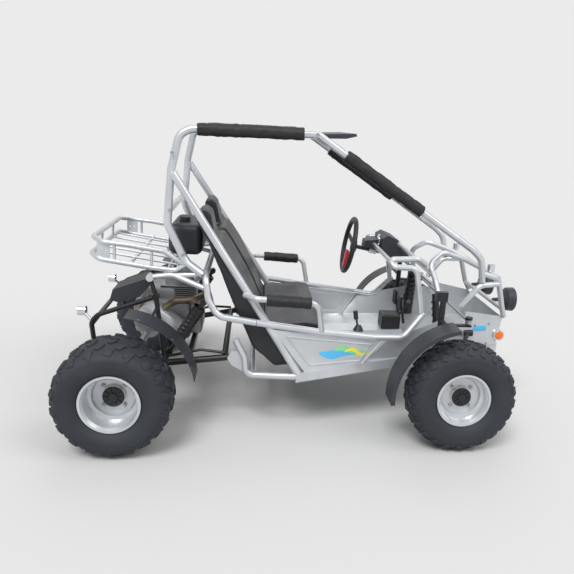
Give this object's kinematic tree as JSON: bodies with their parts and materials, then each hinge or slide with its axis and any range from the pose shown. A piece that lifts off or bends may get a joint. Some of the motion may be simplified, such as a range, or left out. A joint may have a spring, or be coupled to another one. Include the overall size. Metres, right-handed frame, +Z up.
{
  "type": "two-seat off-road kart",
  "caption": "Two-seat off-road kart with a silver tube frame, padded roll cage, luggage rack, knobbly tyres, turning wheels and linked steering.",
  "frame": {"origin": "on the ground, midway between the ends and the sides", "axes": "+X forward, +Y to the driver's left, +Z up"},
  "size_m": [1.9519, 1.4412, 1.2615],
  "materials": {
    "silver": "bright silver paint",
    "black_steel": "satin black paint",
    "panel": "satin silver paint",
    "vinyl": "black vinyl",
    "foam": "black cover on foam",
    "plastic": "moulded",
    "alloy": "as cast",
    "pipe": "heat tinted",
    "tyre": "rubber",
    "chrome": "chrome",
    "shock": "black spring",
    "bright": "ground steel"
  },
  "bodies": {
    "chassis": {"roll_cage": "silver", "side_rails": "silver", "lower_frame": "silver", "diagonal_braces": "silver", "windscreen_pillars": "silver", "knee_frame": "silver", "front_frame": "silver", "luggage_rack": "silver", "armrests": "silver", "nose_plates": "panel", "side_panels": "panel", "floor_pan": "panel", "instrument_cowl": "plastic", "armrest_pads": "foam", "cage_pads": "foam", "roof_visor": "plastic", "swing_arm": "black_steel", "engine_block": "alloy", "exhaust": "pipe", "fuel_tank": "plastic", "airbox": "plastic", "rear_shocks": "shock", "front_arms": "black_steel", "front_shocks": "shock", "rear_fenders": "plastic", "headlights": "plastic", "marker_lamps": "chrome", "seat_backs": "vinyl", "seat_cushions": "vinyl", "pedals": "black_steel", "shift_lever": "plastic"},
    "rear_axle": {"rear_axle": "bright", "rear_rims": "silver", "rear_tyres": "tyre"},
    "knuckle_right": {"knuckle_right": "black_steel", "front_fender_right": "plastic"},
    "front_wheel_right": {"front_rim_right": "silver", "front_tyre_right": "tyre"},
    "knuckle_left": {"knuckle_left": "black_steel", "front_fender_left": "plastic"},
    "front_wheel_left": {"front_rim_left": "silver", "front_tyre_left": "tyre"},
    "steering_wheel": {"steering_wheel": "plastic"},
    "lower_shaft": {"lower_shaft": "bright"},
    "tie_rods": {"tie_rods": "bright"}
  },
  "joints": [
    {"name": "rear_axle_spin", "type": "hinge", "parent": "chassis", "child": "rear_axle", "pos_m": [-0.751, 0, 0.225], "axis": [0, 1, 0], "continuous": true},
    {"name": "steer_right", "type": "hinge", "parent": "chassis", "child": "knuckle_right", "pos_m": [0.629, -0.425, 0.233], "axis": [0, 0, 1], "range_deg": [-25, 25]},
    {"name": "front_wheel_right_spin", "type": "hinge", "parent": "knuckle_right", "child": "front_wheel_right", "pos_m": [0.629, -0.55, 0.233], "axis": [0, 1, 0], "continuous": true},
    {"name": "steer_left", "type": "hinge", "parent": "chassis", "child": "knuckle_left", "pos_m": [0.629, 0.425, 0.233], "axis": [0, 0, 1], "range_deg": [-25, 25]},
    {"name": "front_wheel_left_spin", "type": "hinge", "parent": "knuckle_left", "child": "front_wheel_left", "pos_m": [0.629, 0.55, 0.233], "axis": [0, 1, 0], "continuous": true},
    {"name": "steering_wheel_turn", "type": "hinge", "parent": "chassis", "child": "steering_wheel", "pos_m": [0.228, 0.2, 0.708], "axis": [-0.9877, 0, 0.1564], "range_deg": [-80, 80]},
    {"name": "lower_shaft_turn", "type": "hinge", "parent": "chassis", "child": "lower_shaft", "pos_m": [0.653, 0.118, 0.548], "axis": [-0.7546, 0.3724, 0.5403], "range_deg": [-80, 80]},
    {"name": "rack_slide", "type": "slide", "parent": "chassis", "child": "tie_rods", "axis": [0, 1, 0], "range_m": [-0.01905, 0.01905]}
  ],
  "couplings": [
    {"joint": "steer_left", "follows": "steer_right", "ratio": 1},
    {"joint": "steering_wheel_turn", "follows": "steer_right", "ratio": 3.2},
    {"joint": "lower_shaft_turn", "follows": "steer_right", "ratio": 3.2},
    {"joint": "rack_slide", "follows": "steer_right", "m_per_rad": 0.04359}
  ]
}
